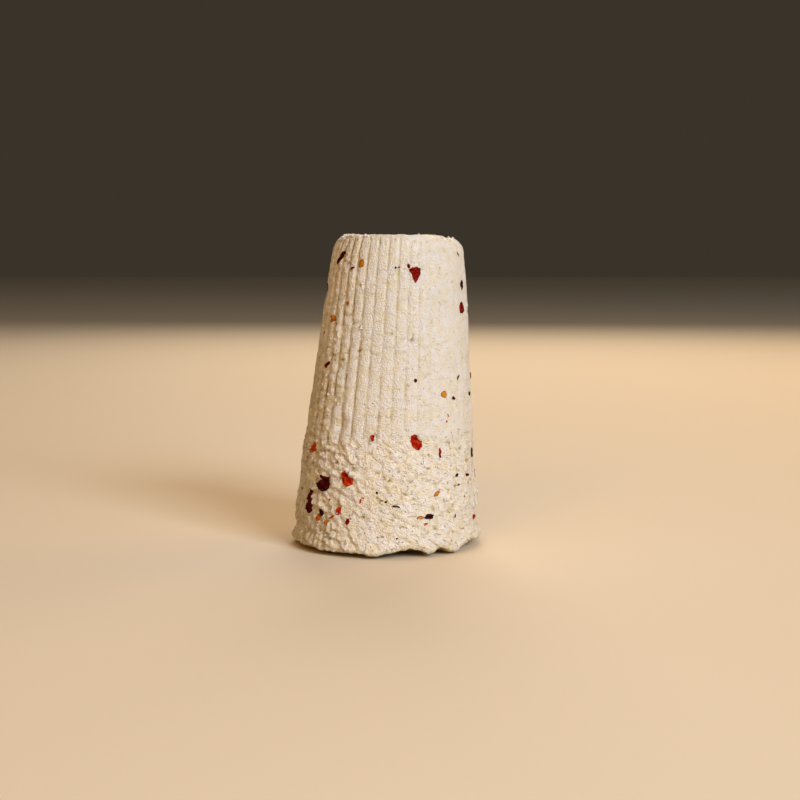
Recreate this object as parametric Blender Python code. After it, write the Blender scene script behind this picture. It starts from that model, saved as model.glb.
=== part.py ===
"""Buffalo ricotta: a tall truncated cone of fresh curd, turned out of a ribbed draining basket and flecked
with chilli. The small end is up. The wide end is the spooned-in face of the basket, so it is slightly domed
and the cheese stands on its middle, with a ragged rim lifted all round."""

import math
import random

import bmesh
import bpy
from mathutils import Matrix, Vector, noise

MM = 0.001

# The whole cheese
HEIGHT = 121.8 * MM
RIM_RADIUS = 37.5 * MM
TOP_RADIUS = 25.3 * MM
SHOULDER_DROP = 6.5 * MM
SHOULDER_INSET = 5.0 * MM
LEAN_FROM = 32 * MM
LEAN_SLOPE = 0.053

# The top's worn corner, as an azimuth in degrees from the front (-Y) towards +X
WORN_AZIMUTH = 75
WORN_FROM = 6 * MM
WORN_TO = 23 * MM
WORN_DROP = 1.6 * MM

# Ribs left by the basket's slats, with azimuths in degrees. A groove's width is a share of the pitch.
RIBS = 40
RIB_PITCH = 360 / RIBS
FIRST_GROOVE = 1.0
RIB_COLUMNS = (0.0, 2.6, 6.4)
RIB_DEPTH = 0.8 * MM
CREST_RISE = 0.24 * MM
GROOVE_WIDTH = 0.14
HOOP_HEIGHT = 77 * MM
HOOP_STAGGER = 1.8 * MM
HOOP_STAGGER_TURN = 2.4
HOOP_DEPTH = 0.35 * MM
HOOP_WIDTH = 1.4 * MM

# Where the ribs are smeared away, where they reach lower, and where they end
SMEAR_AZIMUTH = 42
SMEAR_WIDTH = 26
SMEAR = 0.8
LOW_RIBS_AZIMUTH = -58
LOW_RIBS_WIDTH = 22
LOW_RIBS_DROP = 8 * MM
RIBS_END = 46 * MM
RIBS_END_WAVE = 3 * MM
RIBS_END_WAVES = 5
RIBS_END_FADE = 1.5 * MM

# Curd: lumps in the rough lower part, and the slow unevenness of the whole wall
ROUGH_FROM = 51 * MM
ROUGH_FULL = 42 * MM
LUMP_SIZE = 5.6 * MM
LUMP_SQUASH = 1.25
LUMP_LEVEL = 0.4
LUMP_RISE = 1.7 * MM
SAG_SIZE = 17 * MM
SAG_RISE = 0.45 * MM
TOP_BUMP_SIZE = 6 * MM
TOP_BUMP_RISE = 0.35 * MM

# The domed face it stands on, and how far the rim's ragged edge is lifted
FOOT_RADIUS = 24 * MM
EDGE_RADIUS = 36.6 * MM
UNDER_ROWS = 4
UNDER_CURVE = 2
RIM_LIFT = 2.2 * MM
RIM_LEAST = 0.5 * MM
RIM_WAVE = 1.0 * MM
RIM_WAVE_SIZE = 9 * MM
RIM_EASE = 11 * MM

# Rows of the wall
RIM_ROWS = (1.0 * MM, 3.2 * MM)
ROUGH_ROW = 3.0 * MM
RIBBED_ROW = 6.6 * MM
SHOULDER_ROWS = 4
TOP_RINGS = (0.68, 0.34)

# Chips of dried chilli skin and chilli seeds
FLAKE_CORNERS = 7
FLAKE_THICKNESS = 1.6 * MM
FLAKE_PROUD = 0.4 * MM
SEED_THICKNESS = 1.8 * MM
SEED_PROUD = 0.6 * MM
SCATTERED = 25
SCATTER_GAP = 9 * MM
SCATTER_SIZES = (1.8 * MM, 5.4 * MM)

# Swellings and dents of the wall: azimuth, then height, half-width, half-height and rise in mm
MARKS = (
    (88, 10.2, 9, 3.2, -3.3),
    (92, 19.5, 8, 3.2, 0.9),
    (86, 5.0, 6, 2.2, 0.3),
    (-89, 2.7, 4.5, 1.5, 1.4),
    (-90, 7.0, 7, 2.2, -1.0),
    (-92, 15.5, 8, 5, 0.6),
    (-92, 47, 8, 6, -0.8),
    (-88, 100, 5, 3, -0.9),
    (-10, 2.4, 9, 2.0, 0.9),
    (-34, 50, 2.6, 3.4, -1.2),
    (-28, 43, 3.5, 3.0, 0.7),
    (-46, 46, 3.0, 2.6, 0.6),
    (84, 115, 18, 8, -0.7),
    (2, 121.3, 20, 2.4, 2.4),
    (-75, 118.5, 24, 4.0, -0.4),
    (140, 17, 8, 4, -1.3),
    (172, 34, 5, 4, -1.0),
    (-150, 12, 9, 3, 1.0),
    (-118, 30, 5, 3.5, -1.1),
)

# Lifts of the rim's edge: azimuth, then half-width and rise in mm
RIM_LIFTS = (
    (-88, 5, -0.9),
    (-50, 12, -0.5),
    (-8, 4.2, -1.7),
    (2, 2.0, -0.5),
    (13.5, 5.6, 1.6),
    (27, 2.2, -1.2),
    (35, 2.6, 1.6),
    (46, 4.0, -1.6),
    (64, 5, 1.7),
    (86, 6, 0.7),
)

# Flakes seen from the front: azimuth, then height, width, length in mm and turn in degrees
FLAKES = (
    (14.5, 106.6, 4.6, 7.4, 8),
    (-58, 112.5, 2.2, 5.8, -35),
    (67.5, 102.5, 2.4, 4.2, 0),
    (65.5, 93.5, 3.2, 3.9, 0),
    (-85, 101.2, 2.2, 4.0, 0),
    (-56, 89.8, 3.0, 2.6, 20),
    (-56, 72.2, 2.6, 2.8, -30),
    (88, 66.5, 2.6, 3.0, 0),
    (75.5, 60, 2.4, 1.6, 20),
    (49.5, 59.5, 1.9, 1.7, 0),
    (-10.5, 45.8, 1.8, 3.0, 10),
    (18, 44, 4.4, 5.6, 25),
    (-59.5, 40.2, 2.8, 4.0, 0),
    (36, 39.3, 1.4, 3.8, 4),
    (76.5, 36.8, 2.6, 4.2, -20),
    (-26, 29.8, 4.6, 5.0, 15),
    (-45, 27.2, 5.6, 6.0, 0),
    (-57, 19.5, 2.8, 9.5, 6),
    (-44.5, 16.2, 1.8, 3.2, 10),
    (-31, 17.5, 2.2, 3.2, -20),
    (-24, 14, 1.8, 2.8, 0),
    (5.5, 20, 3.2, 1.4, 15),
    (26.5, 15.8, 3.6, 2.3, 5),
    (51, 30, 2.2, 1.4, 20),
    (64.5, 29, 1.9, 1.4, 0),
    (71, 11.8, 2.4, 2.4, 0),
)

# Seeds seen from the front: azimuth, then height, width, length in mm and turn in degrees
SEEDS = (
    (-31, 110.8, 2.4, 3.4, 10),
    (40, 61.2, 3.2, 3.4, 40),
    (33, 24, 2.8, 2.0, 20),
    (-39, 13, 2.0, 1.9, 0),
    (20, 15.5, 2.1, 1.8, 0),
)


def ease(low, high, value):
    """0 up to low, 1 from high on, and an even curve between."""
    t = min(1.0, max(0.0, (value - low) / (high - low)))
    return t * t * (3 - 2 * t)


def hump(distance, half_width):
    """1 at no distance, falling off in a bell shape over the half-width."""
    return math.exp(-((distance / half_width) ** 2))


def apart(azimuth, other):
    """The signed angle from one azimuth to another, from -180 to 180 degrees."""
    return (azimuth - other + 180) % 360 - 180


def lean(height):
    """How far the cone's middle has drifted towards +X at this height."""
    return LEAN_SLOPE * max(0.0, height - LEAN_FROM)


def cone_radius(height):
    """The plain cone with its rounded shoulder."""
    t = min(1.0, max(0.0, (height - HEIGHT + SHOULDER_DROP) / SHOULDER_DROP))
    straight = RIM_RADIUS + (TOP_RADIUS - RIM_RADIUS) * height / HEIGHT
    return straight - SHOULDER_INSET * (1 - math.sqrt(1 - t * t))


def place(azimuth, height, radius):
    """The point at this azimuth, height and distance from the leaning middle."""
    turn = math.radians(azimuth)
    return Vector((lean(height) + radius * math.sin(turn), -radius * math.cos(turn), height))


def rib_strength(azimuth, height):
    """How clearly the ribs show: smeared away to the right of the front, and gone in the rough lower part."""
    smeared = 1 - SMEAR * hump(apart(azimuth, SMEAR_AZIMUTH), SMEAR_WIDTH)
    end = RIBS_END + RIBS_END_WAVE * math.sin(math.radians(RIBS_END_WAVES * azimuth))
    end -= LOW_RIBS_DROP * hump(apart(azimuth, LOW_RIBS_AZIMUTH), LOW_RIBS_WIDTH)
    over_top = 1 - 0.5 * ease(HEIGHT - SHOULDER_DROP / 2, HEIGHT, height)
    return smeared * over_top * ease(end - RIBS_END_FADE, end + RIBS_END_FADE, height)


def rib_section(azimuth):
    """Crests just above the wall's surface and narrow grooves between them, as cut across."""
    across = ((azimuth - FIRST_GROOVE) / RIB_PITCH) % 1
    return CREST_RISE - RIB_DEPTH * hump(min(across, 1 - across), GROOVE_WIDTH)


def hoop_height(azimuth):
    """Where one slat's print ends and the next begins, a little higher or lower from rib to rib."""
    rib, across = divmod((azimuth - FIRST_GROOVE) / RIB_PITCH, 1)
    before, here, after = (math.sin(HOOP_STAGGER_TURN * ((rib + step) % RIBS)) for step in (-1, 0, 1))
    to_before, to_after = 0.5 - 0.5 * ease(0, 0.3, across), 0.5 * ease(0.7, 1, across)
    return HOOP_HEIGHT + HOOP_STAGGER * (here + to_before * (before - here) + to_after * (after - here))


def relief(azimuth, height):
    """How far the wall stands out from the plain cone."""
    radius = cone_radius(height)
    spot = place(azimuth, height, radius)
    ribbed = rib_strength(azimuth, height)
    hoop = hump(height - hoop_height(azimuth), HOOP_WIDTH / 2)
    rise = SAG_RISE * noise.noise(spot / SAG_SIZE)
    rise += ribbed * (rib_section(azimuth) - HOOP_DEPTH * hoop)
    rough = 1 - ease(ROUGH_FULL, ROUGH_FROM, height)
    nearest = noise.voronoi(Vector((spot.x, spot.y, LUMP_SQUASH * spot.z)) / LUMP_SIZE)[0][0]
    rise += LUMP_RISE * rough * (LUMP_LEVEL - nearest)
    for mark_azimuth, up, half_width, half_height, amount in MARKS:
        sideways = math.radians(apart(azimuth, mark_azimuth)) * radius
        rise += amount * MM * hump(sideways, half_width * MM) * hump(height - up * MM, half_height * MM)
    return rise


def worn(spot):
    """How much lower the worn corner of the top has become at this point."""
    turn = math.radians(WORN_AZIMUTH)
    along = spot.x * math.sin(turn) - spot.y * math.cos(turn)
    return WORN_DROP * ease(WORN_FROM, WORN_TO, along - lean(HEIGHT))


def rim_lift(azimuth):
    """The height of the rim's ragged edge."""
    lift = RIM_LIFT + RIM_WAVE * noise.noise(place(azimuth, 0, RIM_RADIUS) / RIM_WAVE_SIZE)
    for lift_azimuth, half_width, rise in RIM_LIFTS:
        sideways = math.radians(apart(azimuth, lift_azimuth)) * RIM_RADIUS
        lift += rise * MM * hump(sideways, half_width * MM)
    return max(RIM_LEAST, lift)


def foot_point(azimuth, share):
    """A point of the underside, from the foot it stands on (share 0) to the rim's edge (share 1)."""
    radius = FOOT_RADIUS + share * (EDGE_RADIUS - FOOT_RADIUS)
    return place(azimuth, rim_lift(azimuth) * (1 - (1 - share) ** UNDER_CURVE), radius)


def wall_point(azimuth, height):
    """A point of the wall and shoulder. The lowest part is squeezed up to follow the rim's edge."""
    if height < RIM_EASE:
        lift = rim_lift(azimuth)
        height = lift + height * (1 - lift / RIM_EASE)
    spot = place(azimuth, height, cone_radius(height) + relief(azimuth, height))
    spot.z -= worn(spot) * ease(HEIGHT - 1.5 * SHOULDER_DROP, HEIGHT, height)
    return spot


def top_point(azimuth, share):
    """A point of the top, from its middle (share 0) to the shoulder (share 1)."""
    spot = place(azimuth, HEIGHT, share * cone_radius(HEIGHT))
    bumps = noise.noise(spot / TOP_BUMP_SIZE) - 0.6
    return spot + Vector((0, 0, TOP_BUMP_RISE * bumps - worn(spot)))


def section_rows():
    """The rows of the section from the foot up to the top's middle, as what they lie on and where."""
    rows = [("foot", i / UNDER_ROWS) for i in range(UNDER_ROWS + 1)]
    heights = list(RIM_ROWS)
    while heights[-1] < RIBS_END:
        heights.append(heights[-1] + ROUGH_ROW)
    below, above = HOOP_HEIGHT - HOOP_WIDTH, HOOP_HEIGHT + HOOP_WIDTH
    for start, end in ((heights[-1], below), (above, HEIGHT - SHOULDER_DROP)):
        count = round((end - start) / RIBBED_ROW)
        heights += [start + (end - start) * i / count for i in range(1, count + 1)]
        heights += [HOOP_HEIGHT, above] if end == below else []
    turns = [math.pi / 2 * i / SHOULDER_ROWS for i in range(1, SHOULDER_ROWS + 1)]
    heights += [HEIGHT - SHOULDER_DROP * (1 - math.sin(turn)) for turn in turns]
    return rows + [("wall", height) for height in heights] + [("top", share) for share in (*TOP_RINGS, 0.0)]


def row_point(row, azimuth):
    """The point of this row at this azimuth."""
    kind, where = row
    if kind == "foot":
        return foot_point(azimuth, where)
    if kind == "top":
        return top_point(azimuth, where)
    on_hoop = abs(where - HOOP_HEIGHT) < 1.1 * HOOP_WIDTH
    return wall_point(azimuth, where + (hoop_height(azimuth) - HOOP_HEIGHT if on_hoop else 0))


def make_body(materials):
    """Spin the front's section round the axis, then give every point its own place on the ribbed wall."""
    rows = section_rows()
    columns = RIBS * len(RIB_COLUMNS)
    bm = bmesh.new()
    row_of = bm.verts.layers.int.new("row")
    points = []
    for index, (kind, where) in enumerate(rows):
        round_radius = Vector(row_point((kind, where), 0)).yz
        points.append(bm.verts.new((0, round_radius.x, round_radius.y)))
        points[-1][row_of] = index
    edges = [bm.edges.new(pair) for pair in zip(points, points[1:])]
    bmesh.ops.spin(
        bm, geom=points + edges, axis=(0, 0, 1), cent=(0, 0, 0), angle=math.tau, steps=columns, use_merge=True
    )
    bmesh.ops.remove_doubles(bm, verts=bm.verts, dist=0.01 * MM)
    bmesh.ops.contextual_create(bm, geom=[edge for edge in bm.edges if edge.is_boundary])
    for vert in bm.verts:
        column = round(math.atan2(vert.co.x, -vert.co.y) / math.tau * columns)
        rib, within = divmod(column, len(RIB_COLUMNS))
        azimuth = FIRST_GROOVE + RIB_PITCH * rib + RIB_COLUMNS[within]
        vert.co = row_point(rows[vert[row_of]], azimuth)
    bmesh.ops.recalc_face_normals(bm, faces=bm.faces)
    return make_object("ricotta", bm, materials, bpy.context.scene.collection)


def make_object(name, bm, materials, collection):
    """Turn the built shape into an object with the cheese's materials."""
    mesh = bpy.data.meshes.new(name)
    bm.to_mesh(mesh)
    bm.free()
    for material in materials:
        mesh.materials.append(material)
    obj = bpy.data.objects.new(name, mesh)
    collection.objects.link(obj)
    return obj


def make_flake(rng, width, length):
    """A torn chip of dried chilli skin, as an uneven plate that narrows towards its face."""
    bm = bmesh.new()
    bmesh.ops.create_cone(bm, cap_ends=True, segments=FLAKE_CORNERS, radius1=0.5, radius2=0.43, depth=1)
    reach = [rng.uniform(0.78, 1.12) for _ in range(FLAKE_CORNERS)]
    for vert in bm.verts:
        corner = round(math.atan2(vert.co.y, vert.co.x) / math.tau * FLAKE_CORNERS) % FLAKE_CORNERS
        vert.co.x *= width * reach[corner]
        vert.co.y *= length * reach[corner]
        vert.co.z = FLAKE_PROUD - FLAKE_THICKNESS * (0.5 - vert.co.z)
    return bm


def make_seed(width, length):
    """A flat round chilli seed."""
    bm = bmesh.new()
    bmesh.ops.create_icosphere(bm, subdivisions=1, radius=0.5)
    bmesh.ops.scale(bm, verts=bm.verts, vec=(width, length, SEED_THICKNESS))
    bmesh.ops.translate(bm, verts=bm.verts, vec=(0, 0, SEED_PROUD - SEED_THICKNESS / 2))
    return bm


def surface_frame(azimuth, height):
    """Axes on the wall: X across it, Y up along it and Z out of it."""
    plain = place(azimuth, height, cone_radius(height))
    across = (place(azimuth + 1, height, cone_radius(height)) - plain).normalized()
    up = place(azimuth, height + MM, cone_radius(height + MM)) - plain
    out = across.cross(up).normalized()
    axes = Matrix((across, out.cross(across), out)).transposed().to_4x4()
    return Matrix.Translation(wall_point(azimuth, height)) @ axes


def add_chip(collection, bm, azimuth, height, turn, slot, materials):
    """Set one chip into the wall and put it with the others that are to be joined to the curd."""
    bm.transform(surface_frame(azimuth, height) @ Matrix.Rotation(math.radians(turn), 4, "Z"))
    for face in bm.faces:
        face.material_index = slot
    make_object("chip", bm, materials, collection)


def scattered_chips(rng):
    """Flakes for the sides and back, which the front leaves out: the largest first, and well apart."""
    taken = [place(azimuth, up * MM, cone_radius(up * MM)) for azimuth, up, *_ in FLAKES + SEEDS]
    for size in sorted((rng.uniform(*SCATTER_SIZES) for _ in range(SCATTERED)), reverse=True):
        clear = False
        while not clear:
            azimuth, height = rng.uniform(95, 265), rng.uniform(9, 113) * MM
            spot = place(azimuth, height, cone_radius(height))
            clear = all((spot - other).length > SCATTER_GAP for other in taken)
        taken.append(spot)
        yield azimuth, height, size * rng.uniform(0.6, 0.9), size, rng.uniform(-40, 40)


def join_chips(body, chips):
    """Fuse the chips with the curd into one solid, and remove what they were made from."""
    union = body.modifiers.new("chips", "BOOLEAN")
    union.operation = "UNION"
    union.operand_type = "COLLECTION"
    union.collection = chips
    with bpy.context.temp_override(object=body):
        bpy.ops.object.modifier_apply(modifier=union.name)
    for chip in list(chips.objects):
        bpy.data.objects.remove(chip, do_unlink=True)
    bpy.data.collections.remove(chips)


def stand_on_origin(body):
    """Put the origin in the middle of the box's underside."""
    corners = [Vector(corner) for corner in body.bound_box]
    middle = (corners[0] + corners[6]) / 2
    body.data.transform(Matrix.Translation((-middle.x, -middle.y, 0)))


def make_material(name, colour, roughness):
    material = bpy.data.materials.new(name)
    material.use_nodes = True
    shader = material.node_tree.nodes["Principled BSDF"]
    shader.inputs["Base Color"].default_value = (*colour, 1)
    shader.inputs["Roughness"].default_value = roughness
    shader.inputs["Metallic"].default_value = 0
    material.diffuse_color = (*colour, 1)
    return material


def main():
    for obj in list(bpy.data.objects):
        bpy.data.objects.remove(obj, do_unlink=True)
    materials = [
        make_material("ricotta_curd", (0.80, 0.70, 0.53), 0.55),
        make_material("chilli_skin", (0.22, 0.018, 0.01), 0.35),
        make_material("chilli_seed", (0.56, 0.27, 0.04), 0.4),
    ]
    skin, seed = 1, 2
    body = make_body(materials)
    chips = bpy.data.collections.new("chips")
    bpy.context.scene.collection.children.link(chips)
    rng = random.Random(12)
    for azimuth, up, width, length, turn in FLAKES:
        add_chip(chips, make_flake(rng, width * MM, length * MM), azimuth, up * MM, turn, skin, materials)
    for azimuth, up, width, length, turn in SEEDS:
        add_chip(chips, make_seed(width * MM, length * MM), azimuth, up * MM, turn, seed, materials)
    for azimuth, height, width, length, turn in scattered_chips(rng):
        add_chip(chips, make_flake(rng, width, length), azimuth, height, turn, skin, materials)
    join_chips(body, chips)
    stand_on_origin(body)
    body.data.shade_smooth()
    body.data.set_sharp_from_angle(angle=math.radians(35))


main()
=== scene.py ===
"""Buffalo ricotta with chilli: the looks of the cheese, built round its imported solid."""

import math
import random

import bmesh
import bpy
from mathutils import Matrix, Vector, noise


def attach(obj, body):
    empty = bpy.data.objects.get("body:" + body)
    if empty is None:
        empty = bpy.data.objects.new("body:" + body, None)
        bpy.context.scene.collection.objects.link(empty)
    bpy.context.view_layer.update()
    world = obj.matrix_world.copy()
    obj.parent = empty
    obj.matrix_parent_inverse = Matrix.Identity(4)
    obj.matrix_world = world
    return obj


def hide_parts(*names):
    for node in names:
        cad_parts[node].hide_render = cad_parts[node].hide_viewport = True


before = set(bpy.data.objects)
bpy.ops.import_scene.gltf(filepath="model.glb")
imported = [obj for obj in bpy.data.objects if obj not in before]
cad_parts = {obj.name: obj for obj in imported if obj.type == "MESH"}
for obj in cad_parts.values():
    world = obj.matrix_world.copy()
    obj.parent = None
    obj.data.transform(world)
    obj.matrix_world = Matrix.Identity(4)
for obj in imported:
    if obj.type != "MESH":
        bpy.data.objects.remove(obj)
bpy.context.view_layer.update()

# The curd
#
# One tall truncated cone of fresh buffalo-milk curd, ladled into a tapering draining basket and turned out
# small end up. The basket's slots print 40 ribs on it, in bars with rounded ends. The wide end is the ladled
# face: rough and granular, with a ragged rim that is lifted off whatever the cheese stands on.

MM = 0.001

# The cone, which leans to the right above its lower quarter. Azimuths and the widths that go with them are in
# degrees, from the front towards the right
HEIGHT = 121.8 * MM
RIM_RADIUS = 37.5 * MM
TOP_RADIUS = 25.3 * MM
LEAN_FROM = 32 * MM
LEAN_SLOPE = 0.053
FOOT_MIDDLE = Vector((0.928, 0.265, 0)) * MM

# Its shoulder, which is fuller in front and worn lower at the right
SHOULDER_DROP = 6.5 * MM
SHOULDER_INSET = 5.0 * MM
SHOULDER_FILL = 0.72
FILLED_AZIMUTH = 2
FILLED_WIDTH = 52
WORN_AZIMUTH = 75
WORN_FROM = 6 * MM
WORN_TO = 23 * MM
WORN_DROP = 1.6 * MM
WORN_REACH = 1.5 * SHOULDER_DROP

# The ribs, which wander a little, with grooves deeper in one place than in another. Widths across them are
# shares of their pitch
RIBS = 40
RIB_PITCH = 360 / RIBS
FIRST_GROOVE = 1.0
RIB_WANDER = 0.05
RIB_WANDER_SIZE = 4 * MM
RIB_SHAKE = 0.035
RIB_SHAKE_SIZE = 1.6 * MM
RIB_CROWN = 0.2 * MM
GROOVE_DEPTH = 0.425 * MM
GROOVE_WIDTH = 0.085
GROOVE_SHARE = 0.8
GROOVE_CHANGE = 1.1
GROOVE_CHANGE_SIZE = 5 * MM
LEAST_GROOVE = 0.2
MOST_GROOVE = 1.4

# Where the ribs are smeared away, and where they end above the rough curd
SMEAR_AZIMUTH = 42
SMEAR_WIDTH = 26
SMEAR = 0.8
LOW_RIBS_AZIMUTH = -58
LOW_RIBS_WIDTH = 22
LOW_RIBS_DROP = 8 * MM
RIBS_END = 46 * MM
RIBS_END_WAVE = 3 * MM
RIBS_END_WAVES = 5
RIBS_END_FADE = 1.5 * MM
LOST_ON_TOP = 0.5
LEAST_RIBBED = 0.01

# Heights in mm where a bar of a rib ends and the next begins: given for the ribs in front, counted from the
# first groove, and drawn from these bands for the others. Each bar is shifted in or out by its own phase
FRONT_ENDS = {
    -5: (59.8, 91.5), -4: (88.5, 74.8), -3: (99.0, 78.2), -2: (91.8, 79.8, 76.8), -1: (84.2, 79.0),
    0: (97.0, 82.5, 77.2), 1: (81.5,),
}
END_BANDS = ((54, 66), (73, 86), (89, 103))
END_BOW = 1.5 * MM
END_DEPTH = 0.34 * MM
END_ABOVE = 0.35 * MM
END_BELOW = 0.8 * MM
END_INSET = 0.2
BAR_SHIFT = 0.13 * MM
RIB_PHASE = 5.1
BAR_PHASE = 2.3

# Where the basket's print is torn, the ribs are rounder and deeper, and notched across
TORN_AZIMUTH = -57
TORN_WIDTH = 31
TORN_PATCHES = 0.55
TORN_PATCH_SIZE = 9 * MM
TORN_PATCH_EDGE = (0.12, 0.4)
TORN_CROWN = 0.3 * MM
TORN_DEPTH = 0.15 * MM
TORN_WIDENS = 0.2
TORN_COARSE = 0.85
NOTCH_SIZE = 1.5 * MM
NOTCH_STRIDE = 7.3
NOTCH_DEPTH = 0.35 * MM
NOTCH_EDGE = (0.1, 0.45)
NOTCH_INSET = 0.15

# The finer ribs and the ledge that the basket's bottom edge has left at the lower left
LEDGE_AZIMUTH = -50
LEDGE_WIDTH = 27
LEDGE_EDGE = (6.5 * MM, 7.7 * MM)
LEDGE_RISE = 0.55 * MM
FINE_RIB_PITCH = 4.5
FINE_RIB_WANDER = 0.15
FINE_RIB_WANDER_SIZE = 3 * MM
FINE_RIB_DEPTH = 0.32 * MM
FINE_GROOVE_WIDTH = 0.2
FINE_RIB_FADE = (10 * MM, 16 * MM)

# The rough curd below the ribs: lumps, and flattened flakes with open creases, all bolder at the lower left
ROUGH_FROM = 51 * MM
ROUGH_FULL = 42 * MM
LUMP_SIZE = 5.6 * MM
LUMP_SQUASH = 1.25
LUMP_LEVEL = 0.4
LUMP_RISE = 0.6 * MM
LUMPY_AZIMUTH = -46
LUMPY_WIDTH = 24
LUMPY_LEFT = 1.6
FLAKE_SLANT = 26
FLAKE_LENGTH = 4.2 * MM
FLAKE_HEIGHT = 2.4 * MM
FLAKE_RISE = 0.42 * MM
FLAKE_LEAN = 0.4
FLAKE_WANDER = 0.35 * MM
FLAKE_WANDER_SIZE = 1.5 * MM
CREASE_EDGE = (0.04, 0.16)
OPEN_EDGE = (0.0, 0.3)
OPEN_SIZE = 3.1 * MM

# The grain of the curd: how far it rises where the curd is smooth, and what rough and torn curd add
SAG_SIZE = 17 * MM
SAG_RISE = 0.45 * MM
BIG_GRAIN = 2.6 * MM
BIG_RISE = 0.09 * MM
BIG_RISE_ROUGH = 0.08 * MM
BIG_RISE_TORN = 0.2 * MM
SMALL_GRAIN = 1.3 * MM
SMALL_RISE = 0.08 * MM
SMALL_RISE_ROUGH = 0.11 * MM
SMALL_OFFSET = Vector((1, 2, 3))
GRIT = 0.8 * MM
GRIT_RISE = 0.08 * MM
GRIT_RISE_ROUGH = 0.1 * MM
BETWEEN_BIG = 0.5
BETWEEN_SMALL = 0.7
BETWEEN_EDGE = (0.0, 0.35)
LEAST_GRAINY = 0.25
LOW_GRAINY = 0.3
GRAINY_FADE = (105 * MM, 55 * MM)

# How much painted shade, tinted olive like whey, each kind of low spot takes, from 0 to 1, and the warm
# painted shade on the lower left side, away from the key light
SHADE_AND_WHEY_IN_GROOVES = 0.4
SHADE_AND_WHEY_IN_TORN_GROOVES = 0.35
SHADE_AND_WHEY_AT_ENDS = 0.3
SHADE_AND_WHEY_IN_NOTCHES = 0.35
SHADE_AND_WHEY_IN_FINE_RIBS = 0.6
SHADE_AND_WHEY_IN_CREASES = 0.45
SHADE_AND_WHEY_BETWEEN_GRAINS = 0.12
SHADE_AND_WHEY_BETWEEN_ROUGH = 0.06
SHADE_AND_WHEY_IN_CRACKS = 1.7 / MM
PAINTED_SHADE_UNDER_RIM = 0.7
PAINTED_SHADE_ON_FOOT = 0.8
SHADE_AND_WHEY_ON_TOP = 0.4
LEFT_SHADE_AZIMUTH = -85
LEFT_SHADE_WIDTH = 34
LEFT_SHADE_SHARE = 0.3
LEFT_SHADE_FADE = (98 * MM, 60 * MM)

# The underside, and the rim with its nibbles and, below the finer ribs, its scallops
FOOT_RADIUS = 24 * MM
EDGE_RADIUS = 36.2 * MM
UNDER_CURVE = 2
BEAD_HEIGHT = 2.2 * MM
BEAD_INSET = 1.0 * MM
RIM_LIFT = 2.2 * MM
RIM_LEAST = 0.5 * MM
RIM_EASE = 11 * MM
RIM_WAVE = 1.0 * MM
RIM_WAVE_SIZE = 9 * MM
NIBBLE = 0.35 * MM
NIBBLE_SIZE = 2.2 * MM
SMALL_NIBBLE = 0.21 * MM
SMALL_NIBBLE_SIZE = 1.1 * MM
SCALLOP = 0.4 * MM

# The top, with its bumps, ripples and lumps, and its nibbled edge
TOP_DROP = 0.32 * MM
TOP_BUMP = 0.35 * MM
TOP_BUMP_SIZE = 6 * MM
TOP_RIPPLE = 0.14 * MM
TOP_RIPPLE_SIZE = 2 * MM
TOP_LUMP = 0.22 * MM
TOP_LUMP_SIZE = 1.9 * MM
TOP_GRAINY = 0.6
EDGE_FROM = HEIGHT - 2 * MM
EDGE_DROP = 0.15 * MM
EDGE_NIBBLE = 0.6 * MM
EDGE_NIBBLE_SIZE = 1.7 * MM

# Swellings and dents of the wall: azimuth, then height, half-width, half-height and rise in mm
MARKS = (
    (88, 10.2, 9, 3.2, -3.3),
    (92, 19.5, 8, 3.2, 0.9),
    (86, 5.0, 6, 2.2, 0.3),
    (-89, 3.4, 4.5, 1.8, 1.2),
    (-90, 7.0, 7, 2.2, -1.0),
    (-92, 15.5, 8, 5, 0.6),
    (-92, 47, 8, 6, -0.8),
    (-88, 100, 5, 3, -0.9),
    (-10, 2.4, 9, 2.0, 0.9),
    (-34, 50, 2.6, 3.4, -1.2),
    (-28, 43, 3.5, 3.0, 0.7),
    (-46, 46, 3.0, 2.6, 0.6),
    (14.5, 82.7, 1.6, 0.5, 0.5),
    (14.5, 84.7, 1.4, 1.3, -0.25),
    (84, 115, 18, 8, -0.7),
    (-75, 118.5, 24, 4.0, -0.4),
    (140, 17, 8, 4, -1.3),
    (172, 34, 5, 4, -1.0),
    (-150, 12, 9, 3, 1.0),
    (-118, 30, 5, 3.5, -1.1),
)

# Lifts of the rim's edge: azimuth, then half-width and rise in mm
RIM_LIFTS = (
    (-88, 5, -0.9),
    (-50, 12, -0.5),
    (-8, 4.2, -1.7),
    (2, 2.0, -0.5),
    (13.5, 5.6, 1.25),
    (27, 2.2, -1.2),
    (35, 2.6, 0.9),
    (46, 4.0, -1.6),
    (64, 5, 1.4),
    (86, 6, 0.7),
)

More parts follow.
